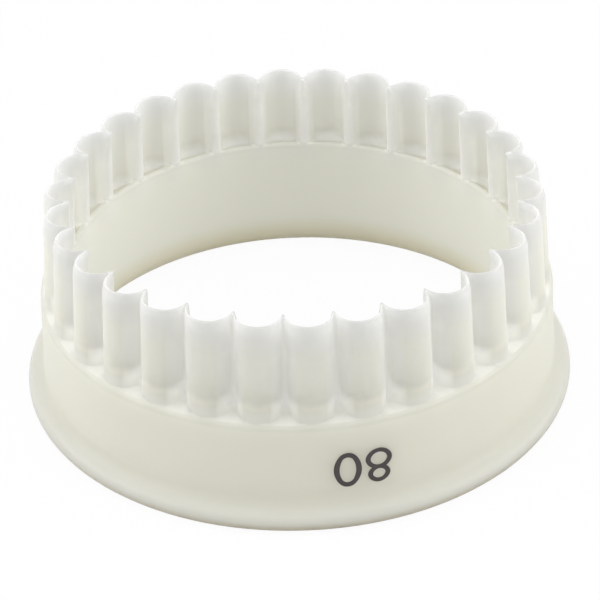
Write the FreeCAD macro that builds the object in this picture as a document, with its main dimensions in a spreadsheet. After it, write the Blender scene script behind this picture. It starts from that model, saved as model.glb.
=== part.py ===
"""Fluted round pastry cutter: one moulded ring with a rolled rim, and its printed size number.

The ring stands on its rim at z = 0 with the cutting edge up. The ring's axis is +Z and the
front, where the number is printed, faces -Y. Lengths are millimetres, angles are degrees.
"""
import FreeCAD, Part
import math
import os
from collections import namedtuple

import Sketcher

SIZES = {
    # Whole ring
    "height": 35.0,  # rim face to cutting edge
    "cutting_radius": 40.0,  # tops of the lobes at the cutting edge, half of the printed size
    "flute_count": 30,
    "flute_turn_angle": 2.6,  # turn of the flutes about the axis, first valley from +X
    # Rolled rim, skirt and shoulder
    "rim_projection": 2.56,  # bead beyond the skirt carried down to the rim face
    "rim_bead_radius": 1.7,  # round section of the bead
    "rim_fillet_radius": 2.0,  # hollow between bead and skirt
    "skirt_draft_angle": 2.0,
    "shoulder_height": 18.35,  # flat ledge outside the flutes
    "shoulder_width": 0.35,  # ledge beyond the roots of the lobes
    "shoulder_round_radius": 0.5,
    # Inside of the base: smooth band, crest and sloping ledge
    "crest_wall": 1.45,  # band carried up to the crest, behind the roots of the valleys
    "band_draft_angle": 5.5,
    "band_foot_round_radius": 3.0,  # inner edge of the rim face
    "crest_rise": 4.15,  # crest above the shoulder
    "crest_round_radius": 0.5,
    "ledge_slope_angle": 36.0,  # fall of the ledge from the crest into the scoops
    # Flutes at the root, below the shoulder
    "root_embed": 0.5,  # depth of the flute roots in the base
    "root_flare": 1.55,  # lobes at the root beyond the lobes at the cutting edge
    "root_flute_depth": 3.4,
    "root_valley_width": 0.9,
    "root_lobe_wall": 0.9,
    "root_ridge_setback": 0.1,  # ridge roots behind the face of the band
    "root_ridge_width": 1.9,
    # Flutes where the outer bevel starts
    "bevel_height": 1.2,  # height of the bevel, down from the cutting edge
    "bevel_depth": 0.39,  # lobes there beyond the lobes at the cutting edge
    "bevel_flute_depth": 2.94,
    "bevel_valley_width": 0.7,
    "bevel_lobe_wall": 0.7,
    "bevel_valley_wall": 1.3,
    "bevel_ridge_width": 1.3,
    # Flutes at the cutting edge
    "edge_flute_depth": 3.05,
    "edge_valley_width": 0.5,
    "edge_lobe_wall": 0.4,
    "edge_valley_wall": 0.95,
    "edge_ridge_width": 1.0,
    # Printed size number, which reads upright with the cutting edge down
    "number_turn_angle": 12.8,  # middle of the number, from the front
    "number_height": 9.7,  # middle of the figures above the rim face
    "digit_spacing": 4.95,  # middle to middle, along the skirt
    "digit_height": 6.2,
    "digit_width": 4.4,
    "digit_stroke": 0.9,  # at the sides
    "digit_end_stroke": 0.78,  # at the top and the bottom
    "digit_end_share": 0.76,  # end rounds of an oval, to half of its short size
    "eight_large_loop_height": 3.75,
    "eight_large_loop_width": 4.25,
    "eight_small_loop_width": 3.6,
    "eight_stroke_share": 0.88,  # strokes of the eight, to those of the zero
    "ink_thickness": 0.1,
    # Cuts
    "cut_overrun": 1.0,  # how far a cut or an overlap runs past its face
}

Bend = namedtuple("Bend", "x y radius clockwise")

UP = FreeCAD.Vector(0, 0, 1)
NOTHING = "0"
FULL_TURN_ANGLE = 360

# Handles of a sketch: its axes, its origin, and the points of a side
HORIZONTAL_AXIS, VERTICAL_AXIS = -1, -2
ORIGIN = (-1, 1)
START, STOP, CENTRE = 1, 2, 3

doc = FreeCAD.newDocument("pastry_cutter")
sheet = doc.addObject("Spreadsheet::Sheet", "Size")
for row, (alias, value) in enumerate(SIZES.items(), start=1):
    sheet.set(f"A{row}", str(value))
    sheet.setAlias(f"A{row}", alias)
doc.recompute()


def value_of(expression):
    """Number that an expression over the sheet gives now."""
    result = doc.Size.evalExpression(expression)
    return float(getattr(result, "Value", result))


def plane_of(body, role):
    """Origin plane or axis of a body, by its role."""
    return next(item for item in body.Origin.OriginFeatures if item.Role == role)


def add_body(name):
    """New body with its label."""
    body = doc.addObject("PartDesign::Body", name)
    body.Label = name
    return body


def add_sketch(body, name, role, level=NOTHING):
    """Empty sketch on an origin plane, raised along the plane's normal by a level."""
    sketch = body.newObject("Sketcher::SketchObject", name)
    sketch.AttachmentSupport = [(plane_of(body, role), "")]
    sketch.MapMode = "FlatFace"
    if level != NOTHING:
        sketch.setExpression("AttachmentOffset.Base.z", level)
    return sketch


def bind(sketch, kind, *places, size):
    """Dimension on a sketch, bound to an expression over the sheet."""
    index = sketch.addConstraint(Sketcher.Constraint(kind, *places, value_of(size)))
    sketch.setExpression(f"Constraints[{index}]", size)


def pin(sketch, side, end, x, y):
    """Fix one point of a side at the place that two expressions give."""
    if x == NOTHING:
        sketch.addConstraint(Sketcher.Constraint("PointOnObject", side, end, VERTICAL_AXIS))
    else:
        bind(sketch, "DistanceX", *ORIGIN, side, end, size=x)
    if y == NOTHING:
        sketch.addConstraint(Sketcher.Constraint("PointOnObject", side, end, HORIZONTAL_AXIS))
    else:
        bind(sketch, "DistanceY", *ORIGIN, side, end, size=y)


def draw_outline(sketch, corners, bends):
    """Closed outline through corners, with an arc in place of each side that has a bend."""
    points = [FreeCAD.Vector(value_of(x), value_of(y), 0) for x, y in corners]
    following = points[1:] + points[:1]
    for side, (start, stop) in enumerate(zip(points, following)):
        bend = bends.get(side)
        if bend is None:
            sketch.addGeometry(Part.LineSegment(start, stop))
            continue
        centre = FreeCAD.Vector(value_of(bend.x), value_of(bend.y), 0)
        first, last = (stop, start) if bend.clockwise else (start, stop)
        angles = [math.atan2((p - centre).y, (p - centre).x) for p in (first, last)]
        circle = Part.Circle(centre, UP, value_of(bend.radius))
        sketch.addGeometry(Part.ArcOfCircle(circle, *angles))

    # An arc runs anticlockwise, so a clockwise bend has its ends the other way round.
    turned = [side in bends and bends[side].clockwise for side in range(len(corners))]
    leads = [STOP if flip else START for flip in turned]
    tails = [START if flip else STOP for flip in turned]
    for side, (x, y) in enumerate(corners):
        before = (side - 1) % len(corners)
        sketch.addConstraint(
            Sketcher.Constraint("Coincident", before, tails[before], side, leads[side]))
        pin(sketch, side, leads[side], x, y)
    for side, bend in bends.items():
        bind(sketch, "Radius", side, size=bend.radius)


def add_turned(body, kind, name, sketch):
    """Revolution or Groove of a sketch, a full turn about the ring's axis."""
    feature = body.newObject(f"PartDesign::{kind}", name)
    feature.Profile = sketch
    feature.ReferenceAxis = (sketch, ["V_Axis"])
    feature.Angle = FULL_TURN_ANGLE
    doc.recompute()
    return feature


def add_around(body, name, feature):
    """Repeat one flute's feature all round the ring."""
    pattern = body.newObject("PartDesign::PolarPattern", name)
    pattern.Originals = [feature]
    pattern.Axis = (plane_of(body, "Z_Axis"), [""])
    pattern.Angle = FULL_TURN_ANGLE
    pattern.setExpression("Occurrences", "Size.flute_count")
    body.Tip = pattern
    doc.recompute()
    return pattern


def turn_body(body, angle):
    """Turn a body about the ring's axis by an expression over the sheet."""
    body.Placement = FreeCAD.Placement(FreeCAD.Vector(), FreeCAD.Rotation(UP, value_of(angle)))
    body.setExpression("Placement.Rotation.Angle", angle)
    doc.recompute()


# Radii and levels that follow from the sizes

ROOT_LOBE = "(Size.cutting_radius + Size.root_flare)"
ROOT_VALLEY = f"({ROOT_LOBE} - Size.root_flute_depth)"
BEVEL_LOBE = "(Size.cutting_radius + Size.bevel_depth)"
BEVEL_VALLEY = f"({BEVEL_LOBE} - Size.bevel_flute_depth)"
BEVEL_RIDGE = f"({BEVEL_VALLEY} - Size.bevel_valley_wall)"
EDGE_VALLEY = "(Size.cutting_radius - Size.edge_flute_depth)"
EDGE_RIDGE = f"({EDGE_VALLEY} - Size.edge_valley_wall)"
SKIRT_TOP = f"({ROOT_LOBE} + Size.shoulder_width)"
BAND_TOP = f"({ROOT_VALLEY} - Size.crest_wall)"
CREST_LEVEL = "(Size.shoulder_height + Size.crest_rise)"
SKIRT_DRAFT = "(Size.skirt_draft_angle * 1 deg)"
BAND_DRAFT = "(Size.band_draft_angle * 1 deg)"
LEDGE_SLOPE = "(Size.ledge_slope_angle * 1 deg)"
ROOT_LEVEL = "(Size.shoulder_height - Size.root_embed)"
BEVEL_LEVEL = "(Size.height - Size.bevel_height)"


def skirt_radius(level, proud=NOTHING):
    """Outer radius of the skirt at a level, or of a film that stands proud of it."""
    rise = f"(Size.shoulder_height - {level})"
    return f"({SKIRT_TOP} + {proud} / cos({SKIRT_DRAFT}) + {rise} * tan({SKIRT_DRAFT}))"


def band_radius(level):
    """Inner radius of the smooth band at a level."""
    return f"({BAND_TOP} + ({CREST_LEVEL} - {level}) * tan({BAND_DRAFT}))"


def ledge_level(radius):
    """Height of the sloping ledge at a radius."""
    return f"({CREST_LEVEL} - ({radius} - {BAND_TOP}) * tan({LEDGE_SLOPE}))"


# Base ring

def base_section():
    """Corners and bends of the base ring's half section, from the rim face round to the band."""
    bead = "Size.rim_bead_radius"
    fillet = "Size.rim_fillet_radius"
    bead_x = f"({skirt_radius(NOTHING)} + Size.rim_projection - {bead})"
    # The fillet touches the skirt and the bead: its centre solves a quadratic in height.
    reach = f"({skirt_radius(NOTHING)} + {fillet} / cos({SKIRT_DRAFT}) - {bead_x})"
    slope = f"tan({SKIRT_DRAFT})"
    middle = f"({slope} * {reach} + {bead})"
    spread = f"({reach}^2 + {bead}^2 - ({bead} + {fillet})^2)"
    fillet_y = f"(({middle} + sqrt({middle}^2 - (1 + {slope}^2) * {spread})) / (1 + {slope}^2))"
    fillet_x = f"({bead_x} + {reach} - {slope} * {fillet_y})"
    share = f"({bead} / ({bead} + {fillet}))"
    fillet_low = (f"({bead_x} + {share} * ({fillet_x} - {bead_x}))",
                  f"({bead} + {share} * ({fillet_y} - {bead}))")
    fillet_high = (f"({fillet_x} - {fillet} * cos({SKIRT_DRAFT}))",
                   f"({fillet_y} - {fillet} * sin({SKIRT_DRAFT}))")

    edge = "Size.shoulder_round_radius"
    edge_y = f"(Size.shoulder_height - {edge})"
    edge_x = f"({skirt_radius(edge_y)} - {edge} / cos({SKIRT_DRAFT}))"
    edge_low = (f"({edge_x} + {edge} * cos({SKIRT_DRAFT}))",
                f"({edge_y} + {edge} * sin({SKIRT_DRAFT}))")

    foot = "Size.band_foot_round_radius"
    foot_x = f"({band_radius(foot)} + {foot} / cos({BAND_DRAFT}))"
    foot_high = (f"({foot_x} - {foot} * cos({BAND_DRAFT}))", f"({foot} - {foot} * sin({BAND_DRAFT}))")

    corners = [
        (foot_x, NOTHING),
        (bead_x, NOTHING),
        fillet_low,
        fillet_high,
        edge_low,
        (edge_x, "Size.shoulder_height"),
        (band_radius("Size.shoulder_height"), "Size.shoulder_height"),
        foot_high,
    ]
    bends = {
        1: Bend(bead_x, bead, bead, False),
        2: Bend(fillet_x, fillet_y, fillet, True),
        4: Bend(edge_x, edge_y, edge, False),
        7: Bend(foot_x, foot, foot, False),
    }
    return corners, bends


def ledge_cut_section():
    """Corners and bends of the cut that leaves the band, the crest and the sloping ledge."""
    edge = "Size.crest_round_radius"
    # Half of the angle that the material has at the crest
    half = f"((90 deg - {BAND_DRAFT} - {LEDGE_SLOPE}) / 2)"
    tangent = f"({edge} / tan({half}))"
    band_point = (f"({BAND_TOP} + {tangent} * sin({BAND_DRAFT}))",
                  f"({CREST_LEVEL} - {tangent} * cos({BAND_DRAFT}))")
    ledge_point = (f"({BAND_TOP} + {tangent} * cos({LEDGE_SLOPE}))",
                   f"({CREST_LEVEL} - {tangent} * sin({LEDGE_SLOPE}))")
    centre = (f"({band_point[0]} + {edge} * cos({BAND_DRAFT}))",
              f"({band_point[1]} + {edge} * sin({BAND_DRAFT}))")
    inside = f"({BAND_TOP} - 2 * Size.cut_overrun)"
    above = f"({CREST_LEVEL} + 2 * Size.cut_overrun)"
    corners = [
        (band_radius(ROOT_LEVEL), ROOT_LEVEL),
        band_point,
        ledge_point,
        (ROOT_LOBE, ledge_level(ROOT_LOBE)),
        (ROOT_LOBE, above),
        (inside, above),
        (inside, ROOT_LEVEL),
    ]
    return corners, {1: Bend(*centre, edge, True)}


# Flutes: the sections cover one pitch, from a valley on +X to the next valley

PITCH = "(360 deg / Size.flute_count)"


def polar(radius, angle):
    """Place at a radius and an angle."""
    return f"({radius} * cos({angle}))", f"({radius} * sin({angle}))"


def lobe_bend(radius, half_angle, apex, clockwise):
    """Arc about the middle of the pitch, through two points at a radius and its apex."""
    chord = f"({radius} * sin({half_angle}))"
    sag = f"({apex} - {radius} * cos({half_angle}))"
    bend_radius = f"(({chord}^2 + {sag}^2) / (2 * {sag}))"
    return Bend(*polar(f"({apex} - {bend_radius})", f"({PITCH} / 2)"), bend_radius, clockwise)


def land_angle(width, radius):
    """Half of the angle that a flat land takes up at a radius."""
    return f"asin({width} / (2 * {radius}))"


def flute_section(lobe, valley, valley_width, wall, ridge, ridge_width):
    """Corners and bends of the wall of one flute: lobe outside, scoop inside, half a ridge each side."""
    floor = land_angle(valley_width, valley)
    crown = land_angle(ridge_width, ridge)
    corners = [
        (valley, NOTHING),
        polar(valley, floor),
        polar(valley, f"({PITCH} - {floor})"),
        polar(valley, PITCH),
        polar(ridge, PITCH),
        polar(ridge, f"({PITCH} - {crown})"),
        polar(ridge, crown),
        (ridge, NOTHING),
    ]
    bends = {
        1: lobe_bend(valley, f"({PITCH} / 2 - {floor})", lobe, False),
        5: lobe_bend(ridge, f"({PITCH} / 2 - {crown})", f"({lobe} - {wall})", True),
    }
    return corners, bends


ROOT_RIDGE = f"({band_radius(ROOT_LEVEL)} + Size.root_ridge_setback)"


def collar_section():
    """Corners and bends of one pitch of the collar behind the band, hidden in the flute walls."""
    valley = f"(({ROOT_VALLEY} + {ROOT_RIDGE}) / 2)"
    lobe = f"({ROOT_LOBE} - Size.root_lobe_wall / 2)"
    floor = land_angle("((Size.root_valley_width + Size.root_ridge_width) / 2)", valley)
    inside = f"({BAND_TOP} - Size.cut_overrun)"
    corners = [
        (valley, NOTHING),
        polar(valley, floor),
        polar(valley, f"({PITCH} - {floor})"),
        polar(valley, PITCH),
        polar(inside, PITCH),
        (inside, NOTHING),
    ]
    return corners, {1: lobe_bend(valley, f"({PITCH} / 2 - {floor})", lobe, False)}


def make_ring():
    """The whole moulding: base, collar with its ledge, and the fluted wall."""
    ring = add_body("cutter_ring")

    base_sketch = add_sketch(ring, "base_outline", "XZ_Plane")
    draw_outline(base_sketch, *base_section())
    add_turned(ring, "Revolution", "base", base_sketch)

    collar_sketch = add_sketch(ring, "collar_outline", "XY_Plane", ROOT_LEVEL)
    draw_outline(collar_sketch, *collar_section())
    collar = ring.newObject("PartDesign::Pad", "collar")
    collar.Profile = collar_sketch
    collar.setExpression("Length", f"{CREST_LEVEL} + Size.cut_overrun - {ROOT_LEVEL}")
    doc.recompute()
    add_around(ring, "collar_round", collar)

    ledge_sketch = add_sketch(ring, "ledge_outline", "XZ_Plane")
    draw_outline(ledge_sketch, *ledge_cut_section())
    add_turned(ring, "Groove", "ledge", ledge_sketch)

    root = flute_section(ROOT_LOBE, ROOT_VALLEY, "Size.root_valley_width",
                         "Size.root_lobe_wall", ROOT_RIDGE, "Size.root_ridge_width")
    bevel = flute_section(BEVEL_LOBE, BEVEL_VALLEY, "Size.bevel_valley_width",
                          "Size.bevel_lobe_wall", BEVEL_RIDGE, "Size.bevel_ridge_width")
    edge = flute_section("Size.cutting_radius", EDGE_VALLEY, "Size.edge_valley_width",
                         "Size.edge_lobe_wall", EDGE_RIDGE, "Size.edge_ridge_width")
    sections = []
    for name, level, outline in (("flute_root", ROOT_LEVEL, root),
                                 ("flute_bevel", BEVEL_LEVEL, bevel),
                                 ("flute_edge", "Size.height", edge)):
        sketch = add_sketch(ring, name, "XY_Plane", level)
        draw_outline(sketch, *outline)
        sections.append(sketch)
    flute = ring.newObject("PartDesign::AdditiveLoft", "flute")
    flute.Profile = sections[0]
    flute.Sections = sections[1:]
    flute.Ruled = True
    doc.recompute()
    add_around(ring, "flute_round", flute)

    turn_body(ring, "Size.flute_turn_angle * 1 deg")
    return ring


# Printed figures

def draw_oval(sketch, middle, width, height):
    """Oval of four arcs about a point on the vertical axis, upright or lying down."""
    upright = value_of(height) > value_of(width)
    long_size, short_size = (height, width) if upright else (width, height)
    end_radius = f"({short_size} / 2 * Size.digit_end_share)"
    offset = f"({long_size} / 2 - {end_radius})"
    spare = f"({short_size} / 2 - {end_radius})"
    # A flank touches both end rounds, and its centre lies past the middle of the oval.
    past = f"(({offset}^2 - {spare}^2) / (2 * {spare}))"
    flank_radius = f"({short_size} / 2 + {past})"
    along = FreeCAD.Vector(0, 1, 0) if upright else FreeCAD.Vector(1, 0, 0)
    across = UP.cross(along)
    centre = FreeCAD.Vector(0, value_of(middle), 0)
    quarter = math.pi / 2
    lean = math.atan2(value_of(offset), value_of(past))
    rounds = [
        (along * value_of(offset), end_radius, quarter - lean),
        (across * -value_of(past), flank_radius, lean),
        (along * -value_of(offset), end_radius, quarter - lean),
        (across * value_of(past), flank_radius, lean),
    ]
    arcs = []
    for number, (place, radius, half_turn) in enumerate(rounds):
        turn = math.atan2(along.y, along.x) + number * quarter
        circle = Part.Circle(centre + place, UP, value_of(radius))
        arcs.append(sketch.addGeometry(Part.ArcOfCircle(circle, turn - half_turn, turn + half_turn)))
    for arc, following in zip(arcs, arcs[1:] + arcs[:1]):
        sketch.addConstraint(Sketcher.Constraint("Tangent", arc, STOP, following, START))
    for arc, (_, radius, _) in zip(arcs, rounds):
        bind(sketch, "Radius", arc, size=radius)
    cap, _, cup, _ = arcs
    if upright:
        pin(sketch, cap, CENTRE, NOTHING, f"({middle} + {offset})")
        pin(sketch, cup, CENTRE, NOTHING, f"({middle} - {offset})")
    else:
        sketch.addConstraint(Sketcher.Constraint("Symmetric", cup, CENTRE, cap, CENTRE, VERTICAL_AXIS))
        bind(sketch, "DistanceX", cup, CENTRE, cap, CENTRE, size=f"(2 * {offset})")
        bind(sketch, "DistanceY", *ORIGIN, cap, CENTRE, size=middle)


def film_cut_section(inner, outer):
    """Corners of a turned cut beside the skirt, between two radii given as functions of height."""
    low = "(Size.number_height - Size.digit_height)"
    high = "(Size.number_height + Size.digit_height)"
    return [(inner(low), low), (outer(low), low), (outer(high), high), (inner(high), high)], {}


def make_figure(name, turn, loops, stroke_share):
    """One printed figure: loops punched through and trimmed to a film on the skirt."""
    figure = add_body(name)
    depth = f"{skirt_radius(NOTHING)} + Size.cut_overrun"
    for number, (middle, width, height) in enumerate(loops):
        sketch = add_sketch(figure, f"{name}_loop_{number}", "XZ_Plane")
        draw_oval(sketch, middle, width, height)
        pad = figure.newObject("PartDesign::Pad", f"{name}_stroke_{number}")
        pad.Profile = sketch
        pad.setExpression("Length", depth)
        doc.recompute()
    for number, (middle, width, height) in enumerate(loops):
        sketch = add_sketch(figure, f"{name}_eye_{number}", "XZ_Plane")
        eye_width = f"({width} - 2 * Size.digit_stroke * {stroke_share})"
        eye_height = f"({height} - 2 * Size.digit_end_stroke * {stroke_share})"
        draw_oval(sketch, middle, eye_width, eye_height)
        pocket = figure.newObject("PartDesign::Pocket", f"{name}_hole_{number}")
        pocket.Profile = sketch
        pocket.Reversed = True
        pocket.setExpression("Length", f"{depth} + Size.cut_overrun")
        doc.recompute()
    cuts = (
        ("skirt_side", lambda level: NOTHING, skirt_radius),
        ("open_side", lambda level: skirt_radius(level, "Size.ink_thickness"),
         lambda level: f"({skirt_radius(NOTHING)} + 2 * Size.cut_overrun)"),
    )
    for side, inner, outer in cuts:
        sketch = add_sketch(figure, f"{name}_{side}", "XZ_Plane")
        draw_outline(sketch, *film_cut_section(inner, outer))
        add_turned(figure, "Groove", f"{name}_{side}_cut", sketch)
    turn_body(figure, turn)
    return figure


def make_number():
    """Both figures of the size number, upside down while the cutting edge is up."""
    half_step = f"(Size.digit_spacing / (2 * {skirt_radius('Size.number_height')}) * 1 rad)"
    middle_turn = "Size.number_turn_angle * 1 deg"
    shared_stroke = "Size.digit_end_stroke * Size.eight_stroke_share"
    small_height = f"(Size.digit_height + {shared_stroke} - Size.eight_large_loop_height)"
    top = "(Size.number_height + Size.digit_height / 2)"
    bottom = "(Size.number_height - Size.digit_height / 2)"
    eight_loops = [
        (f"({top} - Size.eight_large_loop_height / 2)", "Size.eight_large_loop_width",
         "Size.eight_large_loop_height"),
        (f"({bottom} + {small_height} / 2)", "Size.eight_small_loop_width", small_height),
    ]
    zero_loops = [("Size.number_height", "Size.digit_width", "Size.digit_height")]
    eight_turn = f"{middle_turn} + {half_step}"
    zero_turn = f"{middle_turn} - {half_step}"
    eight = make_figure("size_digit_eight", eight_turn, eight_loops, "Size.eight_stroke_share")
    zero = make_figure("size_digit_zero", zero_turn, zero_loops, "1")
    return [eight, zero]


pieces = [make_ring()] + make_number()
doc.recompute()

for item in doc.Objects:
    if "Invalid" in item.State or "Error" in item.State:
        raise RuntimeError(f"{item.Label} did not build: {item.State}")
for piece in pieces:
    if piece.Shape.isNull() or not piece.Shape.isValid() or not piece.Shape.Solids:
        raise RuntimeError(f"{piece.Label} has no valid solid")

os.makedirs("parts", exist_ok=True)
for piece in pieces:
    piece.Shape.exportStep(f"parts/{piece.Label}.step")
    box = piece.Shape.BoundBox
    print(piece.Label, len(piece.Shape.Solids), "solid, volume", round(piece.Shape.Volume, 3),
          "size", round(box.XLength, 3), round(box.YLength, 3), round(box.ZLength, 3))
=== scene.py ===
"""Studio scene of a fluted round pastry cutter, moulded in milky nylon, standing on its rim."""
import logging
import math
from dataclasses import dataclass, field
from enum import Enum
from typing import Union

import bmesh
import bpy
from mathutils import Matrix, Vector


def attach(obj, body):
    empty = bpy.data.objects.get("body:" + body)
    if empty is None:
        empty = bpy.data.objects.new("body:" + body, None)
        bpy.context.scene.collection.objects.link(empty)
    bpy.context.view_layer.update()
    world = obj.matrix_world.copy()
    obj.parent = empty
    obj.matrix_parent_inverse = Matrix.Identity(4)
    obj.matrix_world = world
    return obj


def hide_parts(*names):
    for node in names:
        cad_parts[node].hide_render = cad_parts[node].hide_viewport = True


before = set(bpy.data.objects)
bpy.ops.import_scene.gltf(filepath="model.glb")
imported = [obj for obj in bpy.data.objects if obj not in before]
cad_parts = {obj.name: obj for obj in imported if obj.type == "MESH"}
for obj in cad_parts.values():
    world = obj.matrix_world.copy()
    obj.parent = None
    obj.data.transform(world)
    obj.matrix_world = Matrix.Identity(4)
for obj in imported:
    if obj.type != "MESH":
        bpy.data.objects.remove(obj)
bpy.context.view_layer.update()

BODY = "root"
INSIDE = "inside"
MM = 0.001
FLUTES = 30
RIDGE_TURN = math.radians(2.6)

Socket = bpy.types.NodeSocket
Colour = tuple[float, float, float]
Span = tuple[float, float]
Steps = tuple[float, float, float, float]
Value = Union[float, Colour, Socket]
Place = tuple[float, float]
Row = list[Vector]

log = logging.getLogger("pastry_cutter")


class Slot(Enum):
    """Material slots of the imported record."""

    NYLON = "moulded_nylon"
    INK = "print_ink"


class NodeBench:
    """Adds and links shader nodes in one node tree."""

    def __init__(self, tree: bpy.types.NodeTree) -> None:
        """Keep the tree and clear it.

        Args:
            tree: node tree of a material, a world or a node group.
        """
        self.tree = tree
        tree.nodes.clear()

    def add(self, kind: str, **settings: object) -> bpy.types.Node:
        """Add a node and set its plain properties.

        Args:
            kind: Blender's type name of the node.
            settings: properties of the node.

        Returns:
            The new node.
        """
        node = self.tree.nodes.new(kind)
        for name, value in settings.items():
            setattr(node, name, value)
        return node

    def join(self, source: Socket, target: Socket) -> None:
        """Link an output to an input."""
        self.tree.links.new(source, target)

    def set_or_join(self, value: Value, target: Socket) -> None:
        """Give an input a plain value, a colour, or another node's output.

        Args:
            value: number, colour of three parts, or output.
            target: input that takes it.
        """
        if isinstance(value, Socket):
            self.join(value, target)
        elif isinstance(value, tuple):
            target.default_value = (*value, 1.0)
        else:
            target.default_value = value

    def blend(self, low: Value, high: Value, mask: Socket) -> Socket:
        """Mix two colours by a mask.

        Args:
            low: colour, or output with a colour, where the mask is 0.
            high: colour, or output with a colour, where the mask is 1.
            mask: output that drives the mix.

        Returns:
            The mixed colour.
        """
        mix = self.add("ShaderNodeMix", data_type="RGBA")
        self.set_or_join(low, mix.inputs["A"])
        self.set_or_join(high, mix.inputs["B"])
        self.join(mask, mix.inputs["Factor"])
        return mix.outputs["Result"]

    def compute(self, operation: str, *values: Value) -> Socket:
        """Add a maths node.

        Args:
            operation: Blender's name of the operation.
            values: numbers or outputs, in the order of the node's inputs.

        Returns:
            The result.
        """
        node = self.add("ShaderNodeMath", operation=operation)
        for value, target in zip(values, node.inputs):
            self.set_or_join(value, target)
        return node.outputs["Value"]

    def remap(self, source: Socket, low: float, high: float,
              start: float = 0.0, stop: float = 1.0) -> Socket:
        """Map a value from one range to another.

        Args:
            source: output to map.
            low: result at the start of the range.
            high: result at the end of the range.
            start: value that gives low.
            stop: value that gives high.

        Returns:
            The mapped value.
        """
        node = self.add("ShaderNodeMapRange")
        node.inputs["From Min"].default_value = start
        node.inputs["From Max"].default_value = stop
        node.inputs["To Min"].default_value = low
        node.inputs["To Max"].default_value = high
        self.join(source, node.inputs["Value"])
        return node.outputs["Result"]

    def ramp(self, source: Socket, span: Span) -> Socket:
        """Mask that goes from 0 to 1 over a span of values."""
        return self.remap(source, 0.0, 1.0, *span)

    def plateau(self, source: Socket, steps: Steps) -> Socket:
        """Mask that rises from 0 to 1 over the first two steps and falls back over the last two.

        Args:
            source: value that the steps are on.
            steps: four values.

        Returns:
            The mask.
        """
        fall = self.remap(source, 1.0, 0.0, *steps[2:])
        return self.compute("MULTIPLY", self.ramp(source, steps[:2]), fall)


@dataclass(frozen=True)
class CloudGroup:
    """Shared effect: soft clouds and fine grain over a surface, in object space."""

    name: str = "surface_clouds"
    cloud_detail: float = 2.0
    grain_detail: float = 3.0

    def build(self) -> bpy.types.NodeTree:
        """Make the node group once.

        Returns:
            The group, with outputs Clouds and Grain.
        """
        group = bpy.data.node_groups.get(self.name)
        if group is not None:
            return group
        group = bpy.data.node_groups.new(self.name, "ShaderNodeTree")
        for title in ("Cloud Scale", "Grain Scale"):
            group.interface.new_socket(name=title, in_out="INPUT", socket_type="NodeSocketFloat")
        for title in ("Clouds", "Grain"):
            group.interface.new_socket(name=title, in_out="OUTPUT", socket_type="NodeSocketFloat")
        bench = NodeBench(group)
        entry = bench.add("NodeGroupInput")
        leave = bench.add("NodeGroupOutput")
        place = bench.add("ShaderNodeTexCoord").outputs["Object"]
        for scale, title, detail in (("Cloud Scale", "Clouds", self.cloud_detail),
                                     ("Grain Scale", "Grain", self.grain_detail)):
            noise = bench.add("ShaderNodeTexNoise")
            noise.inputs["Detail"].default_value = detail
            bench.join(place, noise.inputs["Vector"])
            bench.join(entry.outputs[scale], noise.inputs["Scale"])
            bench.join(noise.outputs["Fac"], leave.inputs[title])
        return group

    def place(self, bench: NodeBench, cloud_scale: float, grain_scale: float) -> bpy.types.Node:
        """Put the group in a material.

        Args:
            bench: tree of the material.
            cloud_scale: number of clouds to the metre.
            grain_scale: number of grains to the metre.

        Returns:
            The group's node.
        """
        node = bench.add("ShaderNodeGroup", node_tree=self.build())
        node.inputs["Cloud Scale"].default_value = cloud_scale
        node.inputs["Grain Scale"].default_value = grain_scale
        return node


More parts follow.
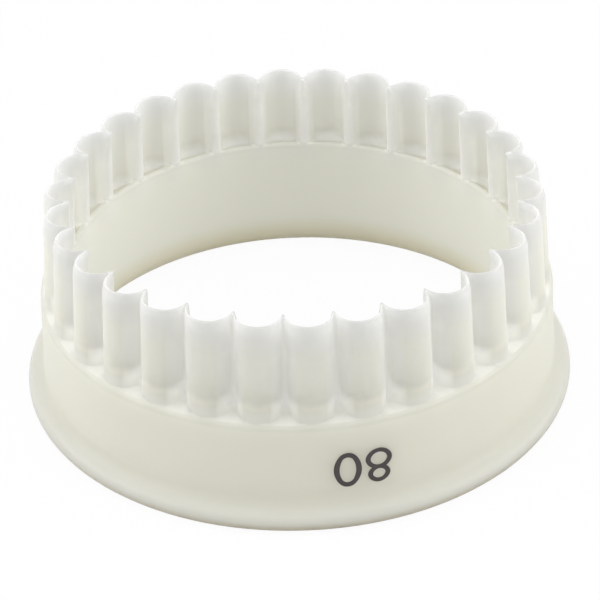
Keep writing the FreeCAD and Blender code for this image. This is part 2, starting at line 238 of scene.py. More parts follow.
@dataclass(frozen=True)
class NylonFinish:
    """Milky cream nylon that lets light through the thin flutes and deep into the base.

    The colour goes with the height (levels), the distance from the axis (radii) and the place
    between the middle of a lobe and a ridge (shares). The base is cream. The valleys carry a painted
    glow and the ridges a painted highlight, so they are lighter than the lobes and scoops between them,
    which are darker, partly with painted shade, darkest at their feet. The inner band is painted lighter
    than the skirt and the crest a little darker. The cutting edge is nearly neutral and the shoulder
    is frosted, with painted shade on its round and a painted glow at the feet of the valleys. The rim
    bead is painted a touch warmer, and painted brown shade at the foot of the rim and yellow-brown
    shade at the foot of the band darken them towards the table.
    """

    name: str = "milky_nylon"
    cream: Colour = (0.680, 0.679, 0.596)
    cream_warm: Colour = (0.666, 0.658, 0.564)
    # Painted shade: the rim bead a touch warmer than the skirt.
    bead: Colour = (0.680, 0.672, 0.578)
    # Painted shade: brown at the foot of the rim, where it stands on the table.
    rim_foot_shade: Colour = (0.450, 0.375, 0.245)
    # Painted shade: darkens the shoulder's round, which catches the light.
    shoulder: Colour = (0.600, 0.598, 0.520)
    # Painted light: the inner band lighter than the outer cream.
    band: Colour = (0.745, 0.745, 0.655)
    # Painted shade: yellow-brown at the foot of the band, near the table.
    band_foot_shade: Colour = (0.725, 0.650, 0.455)
    # Painted shade: the crest a little darker than the band, dimming its light.
    crest: Colour = (0.715, 0.715, 0.635)
    # Painted shade: darker feet of the lobes, against the glow of the solid base.
    lobe_foot_shade: Colour = (0.640, 0.631, 0.555)
    # Lobe tone: the cream of the nylon, partly painted shade that keeps it darker and warmer than the
    # valleys.
    lobe: Colour = (0.835, 0.808, 0.600)
    # Painted light: the valleys lighter than the lobes, where light comes through the wall.
    valley: Colour = (0.985, 0.980, 0.890)
    edge: Colour = (0.675, 0.675, 0.658)
    # Painted shade: the scoops darker than the ridges, darkest at their feet.
    scoop_foot: Colour = (0.560, 0.552, 0.468)
    scoop: Colour = (0.645, 0.640, 0.555)
    # Painted highlight: the ridges inside lighter than the scoops.
    ridge: Colour = (0.980, 0.972, 0.860)
    # Painted light: the inner top a little lighter than the outer edge.
    scoop_edge: Colour = (0.690, 0.692, 0.672)
    # Frosted shoulder: partly its own tone, partly a painted reflection of the top light.
    frost: Colour = (0.640, 0.638, 0.590)
    # Painted light: glow at the feet of the valleys, against their shade.
    valley_foot_glow: Colour = (0.750, 0.746, 0.690)
    bead_levels: Span = (4.2 * MM, 2.8 * MM)
    rim_foot_levels: Span = (2.0 * MM, 0.2 * MM)
    shoulder_levels: Span = (17.0 * MM, 17.9 * MM)
    wall_levels: Span = (18.2 * MM, 18.6 * MM)
    lobe_foot_levels: Span = (20.4 * MM, 22.6 * MM)
    edge_levels: Span = (29.0 * MM, 34.4 * MM)
    band_foot_shade_span: Span = (6.0 * MM, 0.3 * MM)
    crest_shade_levels: Steps = (20.6 * MM, 21.6 * MM, 22.0 * MM, 22.3 * MM)
    crest_levels: Span = (21.6 * MM, 22.4 * MM)
    ledge_levels: Span = (17.5 * MM, 18.5 * MM)
    ledge_radii: Span = (37.4 * MM, 38.0 * MM)
    scoop_foot_levels: Span = (22.0 * MM, 23.8 * MM)
    frost_levels: Steps = (18.1 * MM, 18.3 * MM, 18.6 * MM, 20.4 * MM)
    frost_radii: Span = (41.6 * MM, 41.35 * MM)
    valley_share: Span = (0.45, 0.90)
    ridge_share: Span = (0.64, 0.90)
    flutes: int = FLUTES
    flute_turn: float = RIDGE_TURN
    base_depth: float = 15.0 * MM
    lobe_depth: float = 11.0 * MM
    scoop_depth: float = 5.0 * MM
    depth_by_colour: Colour = (1.0, 1.0, 1.0)
    lobe_depth_levels: Span = (18.5 * MM, 22.5 * MM)
    scoop_depth_levels: Span = (20.4 * MM, 23.0 * MM)
    rough: Span = (0.44, 0.56)
    refraction: float = 1.53
    cloud_scale: float = 55.0
    grain_scale: float = 2600.0
    grain_height: float = 0.004 * MM

    def build(self) -> bpy.types.Material:
        """Make the material.

        Returns:
            The nylon material.
        """
        material = bpy.data.materials.new(self.name)
        material.use_nodes = True
        bench = NodeBench(material.node_tree)
        out = bench.add("ShaderNodeOutputMaterial")
        skin = bench.add("ShaderNodeBsdfPrincipled")
        clouds = CloudGroup().place(bench, self.cloud_scale, self.grain_scale)
        bench.join(self.build_tint(bench, clouds.outputs["Clouds"]), skin.inputs["Base Color"])
        bench.join(bench.remap(clouds.outputs["Grain"], *self.rough), skin.inputs["Roughness"])
        bump = bench.add("ShaderNodeBump")
        bump.inputs["Distance"].default_value = self.grain_height
        bench.join(clouds.outputs["Grain"], bump.inputs["Height"])
        bench.join(bump.outputs["Normal"], skin.inputs["Normal"])
        skin.inputs["IOR"].default_value = self.refraction
        skin.inputs["Subsurface Weight"].default_value = 1.0
        skin.inputs["Subsurface Radius"].default_value = self.depth_by_colour
        bench.join(self.build_depth(bench), skin.inputs["Subsurface Scale"])
        bench.join(skin.outputs["BSDF"], out.inputs["Surface"])
        return material

    def build_depth(self, bench: NodeBench) -> Socket:
        """Depth that light reaches: most in the base, less in the lobes, least in the scoops.

        Args:
            bench: tree to build in.

        Returns:
            The depth.
        """
        level = self.split_place(bench).outputs["Z"]
        inside = bench.add("ShaderNodeAttribute", attribute_name=INSIDE).outputs["Fac"]
        lobe = bench.remap(level, self.base_depth, self.lobe_depth, *self.lobe_depth_levels)
        scoop = bench.remap(level, self.base_depth, self.scoop_depth, *self.scoop_depth_levels)
        depth = bench.add("ShaderNodeMix", data_type="FLOAT")
        for source, target in zip((inside, lobe, scoop), ("Factor", "A", "B")):
            bench.join(source, depth.inputs[target])
        return depth.outputs["Result"]

    def build_tint(self, bench: NodeBench, clouds: Socket) -> Socket:
        """Mix the colours of the outside, the inside and the frosted shoulder, with a painted glow
        at the feet of the valleys.

        Args:
            bench: tree to build in.
            clouds: soft variation over the surface.

        Returns:
            The colour.
        """
        parts = self.split_place(bench)
        level = parts.outputs["Z"]
        radius = self.build_radius(bench)
        wave = self.build_ridge_wave(bench, parts)
        # Mask of the painted glow in the valleys.
        valley = bench.ramp(wave, self.valley_share)
        high = bench.ramp(level, self.edge_levels)
        outer = bench.blend(self.build_outer_tint(bench, clouds, level, valley), self.edge, high)
        inner = bench.blend(self.build_inner_tint(bench, level, radius, wave), self.scoop_edge, high)
        inside = bench.add("ShaderNodeAttribute", attribute_name=INSIDE).outputs["Fac"]
        colour = bench.blend(outer, inner, inside)
        outside = bench.compute("SUBTRACT", 1.0, inside)
        shoulder = bench.compute("MULTIPLY", outside, bench.ramp(radius, self.frost_radii))
        frosted = bench.compute("MULTIPLY", shoulder, bench.plateau(level, self.frost_levels))
        # Frosted shoulder, with painted glow at the feet of the valleys.
        return bench.blend(colour, bench.blend(self.frost, self.valley_foot_glow, valley), frosted)

    def build_outer_tint(self, bench: NodeBench, clouds: Socket, level: Socket, valley: Socket) -> Socket:
        """Mix the colours of the rim, the skirt and the lobes, with painted shade on the rim, the
        shoulder's round and the lobes' feet and a painted glow in the valleys.

        Args:
            bench: tree to build in.
            clouds: soft variation over the surface.
            level: height.
            valley: mask of the valleys between the lobes.

        Returns:
            The colour of the outside.
        """
        skirt = bench.blend(self.cream, self.cream_warm, clouds)
        # Painted shade over the skirt: warmer bead, darker shoulder round, brown rim foot.
        for paint, levels in ((self.bead, self.bead_levels), (self.shoulder, self.shoulder_levels),
                              (self.rim_foot_shade, self.rim_foot_levels)):
            skirt = bench.blend(skirt, paint, bench.ramp(level, levels))
        # Painted shade at the lobes' feet, painted light in the valleys.
        lobe = bench.blend(self.lobe_foot_shade, self.lobe, bench.ramp(level, self.lobe_foot_levels))
        lobe = bench.blend(lobe, self.valley, valley)
        return bench.blend(skirt, lobe, bench.ramp(level, self.wall_levels))

    def build_inner_tint(self, bench: NodeBench, level: Socket, radius: Socket, wave: Socket) -> Socket:
        """Mix the colours of the band, the crest and the scoops, with painted light on the band,
        painted shade at its foot, on the crest and in the scoops, and a painted highlight on the ridges.

        Args:
            bench: tree to build in.
            level: height.
            radius: distance from the axis.
            wave: wave round the ring, 1 at each ridge.

        Returns:
            The colour of the inside.
        """
        # Painted light on the band, painted shade at its foot and on the crest.
        band = bench.blend(self.band, self.band_foot_shade, bench.ramp(level, self.band_foot_shade_span))
        band = bench.blend(band, self.crest, bench.plateau(level, self.crest_shade_levels))
        # Painted shade in the scoops, painted highlight on the ridges.
        scoop = bench.blend(self.scoop_foot, self.scoop, bench.ramp(level, self.scoop_foot_levels))
        scoop = bench.blend(scoop, self.ridge, bench.ramp(wave, self.ridge_share))
        ledge = bench.compute("MULTIPLY", bench.ramp(level, self.ledge_levels),
                              bench.ramp(radius, self.ledge_radii))
        above = bench.compute("MAXIMUM", ledge, bench.ramp(level, self.crest_levels))
        return bench.blend(band, scoop, above)

    @staticmethod
    def split_place(bench: NodeBench) -> bpy.types.Node:
        """Split the place on the object into x, y and z.

        Args:
            bench: tree to build in.

        Returns:
            The node with the three outputs.
        """
        parts = bench.add("ShaderNodeSeparateXYZ")
        bench.join(bench.add("ShaderNodeTexCoord").outputs["Object"], parts.inputs["Vector"])
        return parts

    @staticmethod
    def build_radius(bench: NodeBench) -> Socket:
        """Distance of the place on the object from the axis.

        Args:
            bench: tree to build in.

        Returns:
            The distance.
        """
        flat = bench.add("ShaderNodeVectorMath", operation="MULTIPLY")
        flat.inputs[1].default_value = (1.0, 1.0, 0.0)
        bench.join(bench.add("ShaderNodeTexCoord").outputs["Object"], flat.inputs[0])
        length = bench.add("ShaderNodeVectorMath", operation="LENGTH")
        bench.join(flat.outputs["Vector"], length.inputs[0])
        return length.outputs["Value"]

    def build_ridge_wave(self, bench: NodeBench, parts: bpy.types.Node) -> Socket:
        """Wave round the ring: 1 at each ridge, 0 at the middle of each lobe.

        Args:
            bench: tree to build in.
            parts: node that gives x, y and z.

        Returns:
            The wave.
        """
        angle = bench.compute("ARCTAN2", parts.outputs["Y"], parts.outputs["X"])
        turned = bench.compute("MULTIPLY_ADD", angle, float(self.flutes), -self.flutes * self.flute_turn)
        return bench.ramp(bench.compute("COSINE", turned), (-1.0, 1.0))


@dataclass(frozen=True)
class InkFinish:
    """Dark warm-grey pad print, a little uneven where the pad lifted."""

    name: str = "pad_print_ink"
    dense: Colour = (0.030, 0.024, 0.025)
    thin: Colour = (0.060, 0.050, 0.051)
    rough: Span = (0.45, 0.60)
    cloud_scale: float = 420.0
    grain_scale: float = 6000.0

    def build(self) -> bpy.types.Material:
        """Make the material.

        Returns:
            The ink material.
        """
        material = bpy.data.materials.new(self.name)
        material.use_nodes = True
        bench = NodeBench(material.node_tree)
        out = bench.add("ShaderNodeOutputMaterial")
        film = bench.add("ShaderNodeBsdfPrincipled")
        clouds = CloudGroup().place(bench, self.cloud_scale, self.grain_scale)
        bench.join(bench.blend(self.dense, self.thin, clouds.outputs["Clouds"]), film.inputs["Base Color"])
        bench.join(bench.remap(clouds.outputs["Grain"], *self.rough), film.inputs["Roughness"])
        bench.join(film.outputs["BSDF"], out.inputs["Surface"])
        return material


@dataclass(frozen=True)
class Outline:
    """Scalloped outline at one level: lobe tops, valley bottoms and the round in each valley."""

    lobe: float
    valley: float
    curl: float
    level: float

    def toward(self, other: "Outline", level: float) -> "Outline":
        """Outline on the straight wall between this one and another.

        Args:
            other: outline at the other end of the wall.
            level: height of the new outline.

        Returns:
            The outline at that height.
        """
        share = (level - self.level) / (other.level - self.level)
        return Outline(self.lobe + share * (other.lobe - self.lobe),
                       self.valley + share * (other.valley - self.valley),
                       self.curl + share * (other.curl - self.curl), level)

    def moved(self, shift: float, level: float) -> "Outline":
        """Outline moved outwards by a shift, at another height."""
        return Outline(self.lobe + shift, self.valley + shift, self.curl, level)

    def points(self, half_pitch: float, lobe_steps: int, curl_steps: int) -> Row:
        """Points from the middle of a lobe to the bottom of the valley beside it.

        Args:
            half_pitch: angle between the two.
            lobe_steps: steps along the lobe's arc.
            curl_steps: steps along the valley's round.

        Returns:
            The points.
        """
        top = self.lobe + self.curl
        low = self.valley + self.curl
        centre = (top ** 2 - low ** 2) / (2.0 * (top - low * math.cos(half_pitch)))
        radius = self.lobe - centre
        hub = Vector((low * math.cos(half_pitch), low * math.sin(half_pitch), self.level))
        meet = math.atan2(hub.y, hub.x - centre)
        places = []
        for step in range(lobe_steps + 1):
            angle = meet * step / lobe_steps
            places.append(Vector((centre + radius * math.cos(angle), radius * math.sin(angle), self.level)))
        for step in range(1, curl_steps + 1):
            angle = meet + math.pi + (half_pitch - meet) * step / curl_steps
            places.append(hub + self.curl * Vector((math.cos(angle), math.sin(angle), 0.0)))
        return places


@dataclass(frozen=True)
class Ledge:
    """Half section behind the band: a slope that rises from the scoops to a rounded crest."""

    crest: float
    crest_round: float
    band_top: float
    band_draft: float
    slope: float

    @property
    def first_angle(self) -> float:
        """Angle on the crest's round where the slope ends."""
        return math.pi / 2.0 - self.slope

    @property
    def last_angle(self) -> float:
        """Angle on the crest's round where the band starts."""
        return math.pi + self.band_draft

    @property
    def centre(self) -> Place:
        """Centre of the crest's round, which touches the slope and the band.

        Returns:
            Radius and height.
        """
        half = (math.pi / 2.0 - self.band_draft - self.slope) / 2.0
        tangent = self.crest_round / math.tan(half)
        sine, cosine = math.sin(self.band_draft), math.cos(self.band_draft)
        return (self.band_top + tangent * sine + self.crest_round * cosine,
                self.crest - tangent * cosine + self.crest_round * sine)

    def on_round(self, angle: float) -> Place:
        """Point on the crest's round.

        Args:
            angle: angle on the round.

        Returns:
            Radius and height.
        """
        radius, level = self.centre
        return radius + self.crest_round * math.cos(angle), level + self.crest_round * math.sin(angle)

    def round_angle(self, radius: float) -> float:
        """Angle on the crest's round at a radius.

        Args:
            radius: distance from the axis.

        Returns:
            The angle, on the upper half.
        """
        side = (radius - self.centre[0]) / self.crest_round
        return math.acos(min(max(side, -1.0), 1.0))

    def slope_length(self, radius: float) -> float:
        """Length of the slope from a radius up to the crest's round."""
        return max(radius - self.on_round(self.first_angle)[0], 0.0) / math.cos(self.slope)

    def height_at(self, radius: float) -> float:
        """Height of the slope or of the crest's round.

        Args:
            radius: distance from the axis.

        Returns:
            The height.
        """
        start, level = self.on_round(self.first_angle)
        if radius > start:
            return level - (radius - start) * math.tan(self.slope)
        return self.on_round(self.round_angle(radius))[1]

    def along(self, foot: Vector, share: float, skipped: float) -> Vector:
        """Point on the way from a scoop's foot, up the slope and over the crest.

        Args:
            foot: foot of the scoop.
            share: share of the way behind the point.
            skipped: length at the start of the way that is left out.

        Returns:
            The point.
        """
        radius = foot.to_2d().length
        slope_length = self.slope_length(radius)
        start = self.first_angle if slope_length > 0.0 else self.round_angle(radius)
        whole = slope_length + self.crest_round * (self.last_angle - start)
        run = skipped + (whole - skipped) * share
        if run < slope_length:
            spot = radius - run * math.cos(self.slope)
            level = self.height_at(spot)
        else:
            spot, level = self.on_round(start + (run - slope_length) / self.crest_round)
        direction = foot.to_2d().normalized()
        return Vector((direction.x * spot, direction.y * spot, level))


@dataclass
class FlutedRing:
    """The moulded ring: rolled rim, skirt, shoulder, fluted wall, sloping ledge and smooth band."""

    name: str = "moulded_ring"
    node: str = "cutter_ring"
    flutes: int = FLUTES
    turn: float = RIDGE_TURN + math.pi / FLUTES
    height: float = 35.0 * MM
    bead_radius: float = 1.7 * MM
    bead_middle: float = 43.401 * MM
    fillet_radius: float = 2.8 * MM
    fillet_margin: float = 0.56 * MM
    skirt_top: float = 41.9 * MM
    skirt_draft: float = math.radians(2.0)
    shoulder: float = 18.35 * MM
    shoulder_round: float = 0.85 * MM
    foot_gap: float = 0.05 * MM
    foot_rise: float = 2.2 * MM
    foot_fill: float = 1.1 * MM
    foot_curl: float = 0.5 * MM
    band_top: float = 36.7 * MM
    band_draft: float = math.radians(5.5)
    band_foot_round: float = 3.0 * MM
    crest: float = 22.5 * MM
    crest_round: float = 0.5 * MM
    ledge_slope: float = math.radians(36.0)
    scoop_round: float = 2.4 * MM
    scoop_round_share: float = 0.6
    least_scoop_round: float = 0.03 * MM
    bevel_softening: float = 0.012 * MM
    edge_round: float = 0.07 * MM
    outer_root: Outline = Outline(41.45 * MM, 38.10 * MM, 0.55 * MM, 17.85 * MM)
    outer_bevel: Outline = Outline(40.39 * MM, 37.45 * MM, 0.42 * MM, 33.8 * MM)
    outer_edge: Outline = Outline(40.0 * MM, 36.93 * MM, 0.30 * MM, 35.0 * MM)
    inner_root: Outline = Outline(40.50 * MM, 36.98 * MM, 1.05 * MM, 17.85 * MM)
    inner_bevel: Outline = Outline(39.69 * MM, 36.15 * MM, 0.68 * MM, 33.8 * MM)
    inner_edge: Outline = Outline(39.6 * MM, 35.95 * MM, 0.20 * MM, 35.0 * MM)
    lobe_levels: tuple = (22.5 * MM, 26.0 * MM, 29.5 * MM, 32.6 * MM, 33.5 * MM)
    lobe_bevel_levels: tuple = (34.1 * MM, 34.6 * MM)
    scoop_bevel_levels: tuple = (34.5 * MM, 33.8 * MM)
    scoop_levels: tuple = (31.5 * MM, 28.5 * MM, 25.5 * MM)
    band_levels: tuple = (20.9 * MM, 15.0 * MM, 9.0 * MM, 3.2 * MM)
    lobe_steps: int = 8
    curl_steps: int = 4
    lobe_share: float = 0.96
    bead_steps: int = 12
    fillet_steps: int = 6
    shoulder_steps: int = 5
    foot_steps: int = 5
    edge_steps: int = 3
    scoop_round_steps: int = 4
    ledge_steps: int = 7
    band_foot_steps: int = 9
    settling_rounds: int = 12
    mirror_merge: float = 0.001 * MM
    flute_merge: float = 0.002 * MM
    smooth_angle: float = math.radians(50.0)

    @property
    def half_pitch(self) -> float:
        """Angle from the middle of a lobe to the valley beside it."""
        return math.pi / self.flutes

    def skirt_at(self, level: float) -> float:
        """Outer radius of the skirt at a height."""
        return self.skirt_top + (self.shoulder - level) * math.tan(self.skirt_draft)

    def band_at(self, level: float) -> float:
        """Inner radius of the band at a height."""
        return self.band_top + (self.crest - level) * math.tan(self.band_draft)

    @staticmethod
    def arc(centre: Place, radius: float, start: float, stop: float, steps: int) -> list[Place]:
        """Points of an arc in the ring's half section.

        Args:
            centre: radius and height of the arc's centre.
            radius: radius of the arc.
            start: first angle.
            stop: last angle.
            steps: number of steps.

        Returns:
            Pairs of radius and height.
        """
        angles = [start + (stop - start) * step / steps for step in range(steps + 1)]
        return [(centre[0] + radius * math.cos(a), centre[1] + radius * math.sin(a)) for a in angles]

    def turned_row(self, radius: float, level: float) -> Row:
        """Points of one turned row over half a pitch, a column for each column of the flutes.

        Args:
            radius: radius of the row.
            level: height of the row.

        Returns:
            The points.
        """
        wide = self.lobe_share * self.half_pitch
        angles = [wide * step / self.lobe_steps for step in range(self.lobe_steps + 1)]
        angles += [wide + (self.half_pitch - wide) * step / self.curl_steps
                   for step in range(1, self.curl_steps + 1)]
        return [Vector((radius * math.cos(a), radius * math.sin(a), level)) for a in angles]

    def fluted_row(self, outline: Outline) -> Row:
        """Points of one scalloped row over half a pitch."""
        return outline.points(self.half_pitch, self.lobe_steps, self.curl_steps)

    def wall_rows(self, first: Outline, last: Outline, levels: tuple) -> list[Row]:
        """Scalloped rows on the straight wall between two outlines.

        Args:
            first: outline at one end of the wall.
            last: outline at the other end of the wall.
            levels: heights of the rows.

        Returns:
            Rows of points.
        """
        return [self.fluted_row(first.toward(last, level)) for level in levels]

    def fillet_centre(self) -> Place:
        """Centre of the fillet that touches the bead and the skirt.

        Returns:
            Radius and height.
        """
        lean = math.tan(self.skirt_draft)
        reach = self.skirt_at(0.0) + self.fillet_radius / math.cos(self.skirt_draft) - self.bead_middle
        middle = lean * reach + self.bead_radius
        spread = reach ** 2 + self.bead_radius ** 2 - (self.bead_radius + self.fillet_radius) ** 2
        level = (middle + math.sqrt(middle ** 2 - (1.0 + lean ** 2) * spread)) / (1.0 + lean ** 2)
        return self.bead_middle + reach - lean * level, level

    def outer_rows(self) -> list[Row]:
        """Rows from the inner end of the rim face, round the rim and up the skirt to the shoulder.

        Returns:
            Rows of points.
        """
        bead = (self.bead_middle, self.bead_radius)
        fillet = self.fillet_centre()
        meet = math.atan2(fillet[1] - bead[1], fillet[0] - bead[0])
        section = self.arc(bead, self.bead_radius, -math.pi / 2.0, meet, self.bead_steps)
        section += self.arc(fillet, self.fillet_radius, meet - math.pi, self.skirt_draft - math.pi,
                            self.fillet_steps)[1:]
        edge_level = self.shoulder - self.shoulder_round
        edge = (self.skirt_at(edge_level) - self.shoulder_round / math.cos(self.skirt_draft), edge_level)
        lobe_feet = self.outer_root.lobe + self.foot_gap
        stop = math.acos((lobe_feet - edge[0]) / self.shoulder_round)
        corner = self.arc(edge, self.shoulder_round, self.skirt_draft, stop, self.shoulder_steps)
        for level in (section[-1][1] + self.fillet_margin, self.shoulder / 2.0,
                      corner[0][1] - self.shoulder_round):
            section.append((self.skirt_at(level), level))
        return [self.turned_row(*place) for place in section + corner]

    def foot_rows(self) -> list[Row]:
        """Rows of the run-out where the valleys grow shallow and round towards the shoulder.

        Returns:
            Rows of points.
        """
        rows = []
        for step in range(self.foot_steps + 1):
            angle = math.pi / 2.0 * step / self.foot_steps
            share = 1.0 - math.sin(angle)
            level = self.shoulder + self.foot_rise * (1.0 - math.cos(angle))
            wall = self.outer_root.toward(self.outer_bevel, level)
            rows.append(self.fluted_row(Outline(wall.lobe, wall.valley + self.foot_fill * share,
                                                wall.curl + self.foot_curl * share, level)))
        return rows

    def outer_wall_rows(self) -> list[Row]:
        """Rows up the outside of the flutes to the cutting edge.

        Returns:
            Rows of points.
        """
        rows = self.foot_rows() + self.wall_rows(self.outer_root, self.outer_bevel, self.lobe_levels)
        rows.append(self.fluted_row(self.outer_bevel.moved(-self.bevel_softening, self.outer_bevel.level)))
        rows += self.wall_rows(self.outer_bevel, self.outer_edge, self.lobe_bevel_levels)
        return rows + self.edge_rows(self.outer_edge, -1.0)

    def edge_rows(self, outline: Outline, side: float) -> list[Row]:
        """Rows of the small round on one side of the cutting edge, going up.

        Args:
            outline: outline of that side at the cutting edge.
            side: way that the round turns, 1 outwards or -1 inwards.

        Returns:
            Rows of points.
        """
        rows = []
        for step in range(self.edge_steps + 1):
            angle = math.pi / 2.0 * step / self.edge_steps
            drop = self.edge_round * (1.0 - math.sin(angle))
            shift = side * self.edge_round * (1.0 - math.cos(angle))
            rows.append(self.fluted_row(outline.moved(shift, self.height - drop)))
        return rows

    def inner_wall_rows(self) -> list[Row]:
        """Rows from the cutting edge down the inside of the flutes.

        Returns:
            Rows of points.
        """
        rows = self.edge_rows(self.inner_edge, 1.0)[::-1]
        rows += self.wall_rows(self.inner_edge, self.inner_bevel, self.scoop_bevel_levels)
        return rows + self.wall_rows(self.inner_root, self.inner_bevel, self.scoop_levels)

    def scoop_foot(self, ledge: Ledge, low: Vector, high: Vector) -> Vector:
        """Point where a straight line down a scoop meets the ledge.

        Args:
            ledge: half section of the ledge.
            low: lower end of the line.
            high: upper end of the line.

        Returns:
            The point.
        """
        level = self.crest
        for _ in range(self.settling_rounds):
            place = low.lerp(high, (level - low.z) / (high.z - low.z))
            level = ledge.height_at(place.to_2d().length)
        return place

    def ledge_rows(self) -> list[Row]:
        """Rows from the feet of the scoops over the sloping ledge and the crest to the band.

        Returns:
            Rows of points.
        """
        ledge = Ledge(self.crest, self.crest_round, self.band_top, self.band_draft, self.ledge_slope)
        columns = []
        for low, high in zip(self.fluted_row(self.inner_root), self.fluted_row(self.inner_bevel)):
            foot = self.scoop_foot(ledge, low, high)
            room = self.scoop_round_share * ledge.slope_length(foot.to_2d().length)
            reach = max(min(self.scoop_round, room), self.least_scoop_round)
            above = foot + (high - low).normalized() * reach
            inward = ledge.along(foot, 0.0, reach)
            shares = [step / self.scoop_round_steps for step in range(self.scoop_round_steps)]
            column = [above.lerp(foot, share).lerp(foot.lerp(inward, share), share) for share in shares]
            column += [ledge.along(foot, step / self.ledge_steps, reach)
                       for step in range(self.ledge_steps + 1)]
            columns.append(column)
        return [list(row) for row in zip(*columns)]

    def band_rows(self) -> list[Row]:
        """Rows down the smooth band and round its foot.

        Returns:
            Rows of points.
        """
        foot = (self.band_at(self.band_foot_round) + self.band_foot_round / math.cos(self.band_draft),
                self.band_foot_round)
        curve = self.arc(foot, self.band_foot_round, math.pi + self.band_draft, 1.5 * math.pi,
                         self.band_foot_steps)
        section = [(self.band_at(level), level) for level in self.band_levels]
        return [self.turned_row(*place) for place in section + curve]

    def build(self) -> bpy.types.Object:
        """Model the ring: half a flute, mirrored and repeated round the axis.

        Returns:
            The ring object.
        """
        outside = self.outer_rows() + self.outer_wall_rows()
        rows = outside + self.inner_wall_rows() + self.ledge_rows() + self.band_rows()
        ring = self.draw_half_flute(rows)
        marks = ring.data.attributes.new(INSIDE, "FLOAT", "POINT").data
        for number, mark in enumerate(marks):
            mark.value = float(number >= len(outside) * len(rows[0]))
        self.repeat_round(ring)
        bpy.ops.object.shade_smooth_by_angle(angle=self.smooth_angle)
        return ring

    def draw_half_flute(self, rows: list[Row]) -> bpy.types.Object:
        """Draw the rows of half a flute and bridge them all round its section.

        Args:
            rows: rows of points, each with the same number of columns.

        Returns:
            The object, in object mode.
        """
        bpy.ops.object.select_all(action="DESELECT")
        bpy.ops.mesh.primitive_plane_add(size=MM, location=rows[0][0])
        ring = bpy.context.object
        ring.name = self.name
        bpy.ops.object.transform_apply(location=True)
        bpy.ops.object.mode_set(mode="EDIT")
        bpy.ops.mesh.select_mode(type="VERT")
        for number, row in enumerate(rows):
            self.draw_row(row, fresh=number > 0)
        for number in range(len(rows)):
            self.bridge_rows(ring, number, (number + 1) % len(rows), len(rows[0]))
        bpy.ops.object.mode_set(mode="OBJECT")
        return ring

    def repeat_round(self, ring: bpy.types.Object) -> None:
        """Mirror half a flute, repeat the flute round the axis and turn the ring to its place.

        Args:
            ring: object with half a flute, active and in object mode.
        """
        mirror = ring.modifiers.new("other_half", "MIRROR")
        mirror.use_axis = (False, True, False)
        mirror.merge_threshold = self.mirror_merge
        bpy.ops.object.modifier_apply(modifier=mirror.name)
        bpy.ops.object.mode_set(mode="EDIT")
        bpy.ops.mesh.select_all(action="SELECT")
        copies = self.flutes - 1
        bpy.ops.mesh.spin(steps=copies, dupli=True, angle=copies * 2.0 * self.half_pitch,
                          center=(0.0, 0.0, 0.0), axis=(0.0, 0.0, 1.0))
        bpy.ops.mesh.select_all(action="SELECT")
        bpy.ops.mesh.remove_doubles(threshold=self.flute_merge)
        bpy.ops.mesh.normals_make_consistent(inside=False)
        bpy.ops.object.mode_set(mode="OBJECT")
        ring.rotation_euler.z = self.turn
        bpy.ops.object.transform_apply(rotation=True)

    @staticmethod
    def draw_row(row: Row, fresh: bool) -> None:
        """Draw one row of points as a chain of extruded vertices.

        Args:
            row: points of the row.
            fresh: whether the row needs a start vertex of its own.
        """
        if fresh:
            bpy.ops.mesh.select_all(action="DESELECT")
            bpy.ops.mesh.primitive_plane_add(size=MM, location=row[0])
        else:
            bpy.ops.mesh.select_all(action="SELECT")
        bpy.ops.mesh.merge(type="CENTER")
        for before, place in zip(row, row[1:]):
            bpy.ops.mesh.extrude_vertices_move(TRANSFORM_OT_translate={"value": place - before})

    @staticmethod
    def bridge_rows(ring: bpy.types.Object, first: int, second: int, columns: int) -> None:
        """Bridge two rows with faces.

        Args:
            ring: object in edit mode.
            first: number of one row.
            second: number of the other row.
            columns: points in a row.
        """
        bpy.ops.mesh.select_all(action="DESELECT")
        shape = bmesh.from_edit_mesh(ring.data)
        shape.verts.ensure_lookup_table()
        for number in (first, second):
            chain = {shape.verts[number * columns + step] for step in range(columns)}
            for edge in shape.edges:
                if set(edge.verts) <= chain:
                    edge.select_set(True)
        bmesh.update_edit_mesh(ring.data)
        bpy.ops.mesh.bridge_edge_loops()


@dataclass
class PastryCutter:
    """The moulded ring and the printed size number."""

    ring: FlutedRing = field(default_factory=FlutedRing)
    figure_nodes: tuple = ("size_digit_eight", "size_digit_zero")
    nylon: NylonFinish = field(default_factory=NylonFinish)
    ink: InkFinish = field(default_factory=InkFinish)

    def build(self) -> list[bpy.types.Object]:
        """Model the ring and give each piece its finish.

        Returns:
            The finished objects.
        """
        ring = self.ring.build()
        ring.data.materials.append(self.nylon.build())
        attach(ring, BODY)
        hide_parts(self.ring.node)
        pieces = [ring]
        ink = self.ink.build()
        for name in self.figure_nodes:
            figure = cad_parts[name]
            for slot in figure.material_slots:
                slot.material = ink
            pieces.append(figure)
        return pieces


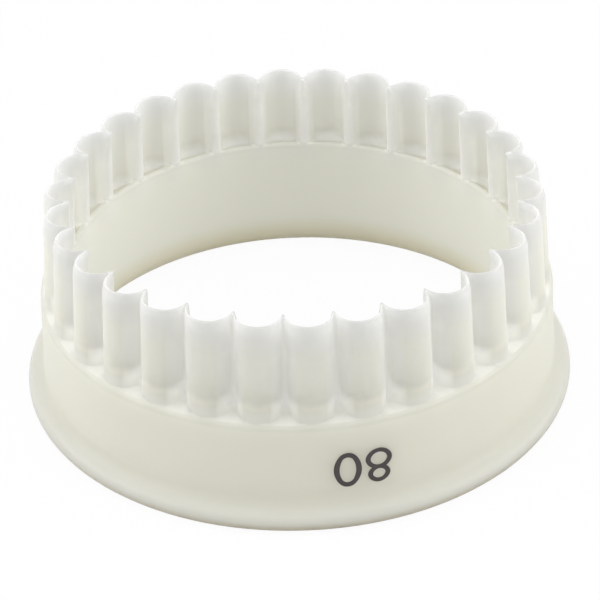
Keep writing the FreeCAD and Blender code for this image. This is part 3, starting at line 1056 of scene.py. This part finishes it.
@dataclass(frozen=True)
class PhotoCamera:
    """Camera at the photograph's place, worked out from the outlines of the edge, rim and hole."""

    target: tuple = (0.4665 * MM, 0.0, 13.579 * MM)
    distance: float = 466.06 * MM
    elevation: float = math.radians(33.566)
    roll: float = math.radians(-1.94)
    lens: float = 169.61
    sensor: float = 36.0
    clip: Span = (0.01, 20.0)

    def build(self) -> bpy.types.Object:
        """Make the camera and use it.

        Returns:
            The camera object.
        """
        data = bpy.data.cameras.new("photo_camera")
        data.lens = self.lens
        data.sensor_width = self.sensor
        data.clip_start, data.clip_end = self.clip
        camera = bpy.data.objects.new("photo_camera", data)
        bpy.context.scene.collection.objects.link(camera)
        back = Vector((0.0, -math.cos(self.elevation), math.sin(self.elevation)))
        right = Vector((1.0, 0.0, 0.0))
        up = back.cross(right)
        turned_right = right * math.cos(self.roll) + up * math.sin(self.roll)
        turned_up = up * math.cos(self.roll) - right * math.sin(self.roll)
        turn = Matrix((turned_right, turned_up, back)).transposed().to_4x4()
        camera.matrix_world = Matrix.Translation(Vector(self.target) + back * self.distance) @ turn
        bpy.context.scene.camera = camera
        return camera


class Lamp(Enum):
    """Softboxes round the table: place and size in metres, and power in watts."""

    RIGHT = ((0.73, -0.13, 0.51), 0.58, 2.85)
    LEFT = ((-0.69, -0.04, 0.56), 0.58, 2.85)
    TOP = ((0.0, -0.05, 0.90), 0.60, 2.4)


@dataclass(frozen=True)
class Studio:
    """White table, white surroundings and soft lamps."""

    floor_size: float = 6.0
    floor_white: Colour = (0.80, 0.80, 0.80)
    floor_lift: float = 0.95
    ambient: Colour = (1.0, 1.0, 1.0)
    ambient_strength: float = 0.58
    aim: tuple = (0.0, 0.0, 18.0 * MM)

    def build(self) -> None:
        """Make the floor, the world and the lamps."""
        bpy.context.scene.view_settings.view_transform = "Standard"
        self.build_floor()
        self.build_world()
        for lamp in Lamp:
            self.build_lamp(lamp)

    def build_floor(self) -> None:
        """Make the white table top under the rim."""
        bpy.ops.object.select_all(action="DESELECT")
        bpy.ops.mesh.primitive_plane_add(size=self.floor_size)
        floor = bpy.context.object
        floor.name = "table_top"
        material = bpy.data.materials.new("white_table")
        material.use_nodes = True
        bench = NodeBench(material.node_tree)
        out = bench.add("ShaderNodeOutputMaterial")
        matt = bench.add("ShaderNodeBsdfDiffuse")
        bench.set_or_join(self.floor_white, matt.inputs["Color"])
        glow = bench.add("ShaderNodeEmission")
        mix = bench.add("ShaderNodeMixShader")
        bench.join(self.seen_by_eye(bench, self.floor_lift), mix.inputs["Fac"])
        bench.join(matt.outputs["BSDF"], mix.inputs[1])
        bench.join(glow.outputs["Emission"], mix.inputs[2])
        bench.join(mix.outputs["Shader"], out.inputs["Surface"])
        floor.data.materials.append(material)

    @staticmethod
    def seen_by_eye(bench: NodeBench, share: float) -> Socket:
        """Mask of the rays that show the surroundings: straight, mirrored or let through.

        Args:
            bench: tree to build in.
            share: value of the mask on those rays.

        Returns:
            The mask.
        """
        path = bench.add("ShaderNodeLightPath")
        total = path.outputs["Is Camera Ray"]
        for kind in ("Is Glossy Ray", "Is Transmission Ray"):
            total = bench.compute("MAXIMUM", total, path.outputs[kind])
        return bench.compute("MULTIPLY", total, share)

    def build_world(self) -> None:
        """Make the surroundings: white to the eye, a softer white as light."""
        world = bpy.data.worlds.new("white_room")
        bpy.context.scene.world = world
        world.use_nodes = True
        bench = NodeBench(world.node_tree)
        out = bench.add("ShaderNodeOutputWorld")
        room = bench.add("ShaderNodeBackground")
        bench.set_or_join(self.ambient, room.inputs["Color"])
        seen = self.seen_by_eye(bench, 1.0)
        bench.join(bench.remap(seen, self.ambient_strength, 1.0), room.inputs["Strength"])
        bench.join(room.outputs["Background"], out.inputs["Surface"])

    def build_lamp(self, lamp: Lamp) -> None:
        """Make one softbox aimed at the cutter.

        Args:
            lamp: which softbox.
        """
        place, size, power = lamp.value
        data = bpy.data.lights.new(f"softbox_{lamp.name.lower()}", "AREA")
        data.size = size
        data.energy = power
        softbox = bpy.data.objects.new(data.name, data)
        bpy.context.scene.collection.objects.link(softbox)
        softbox.location = place
        away = Vector(place) - Vector(self.aim)
        softbox.rotation_euler = away.to_track_quat("Z", "Y").to_euler()


def main() -> None:
    """Build the cutter, the studio and the camera."""
    logging.basicConfig(level=logging.INFO, format="%(message)s")
    for piece in PastryCutter().build():
        log.info("piece %s: %d faces, %s", piece.name, len(piece.data.polygons), piece.active_material.name)
    Studio().build()
    camera = PhotoCamera().build()
    log.info("camera %s at %s", camera.name, tuple(round(x, 4) for x in camera.location))


if __name__ == "__main__":
    main()
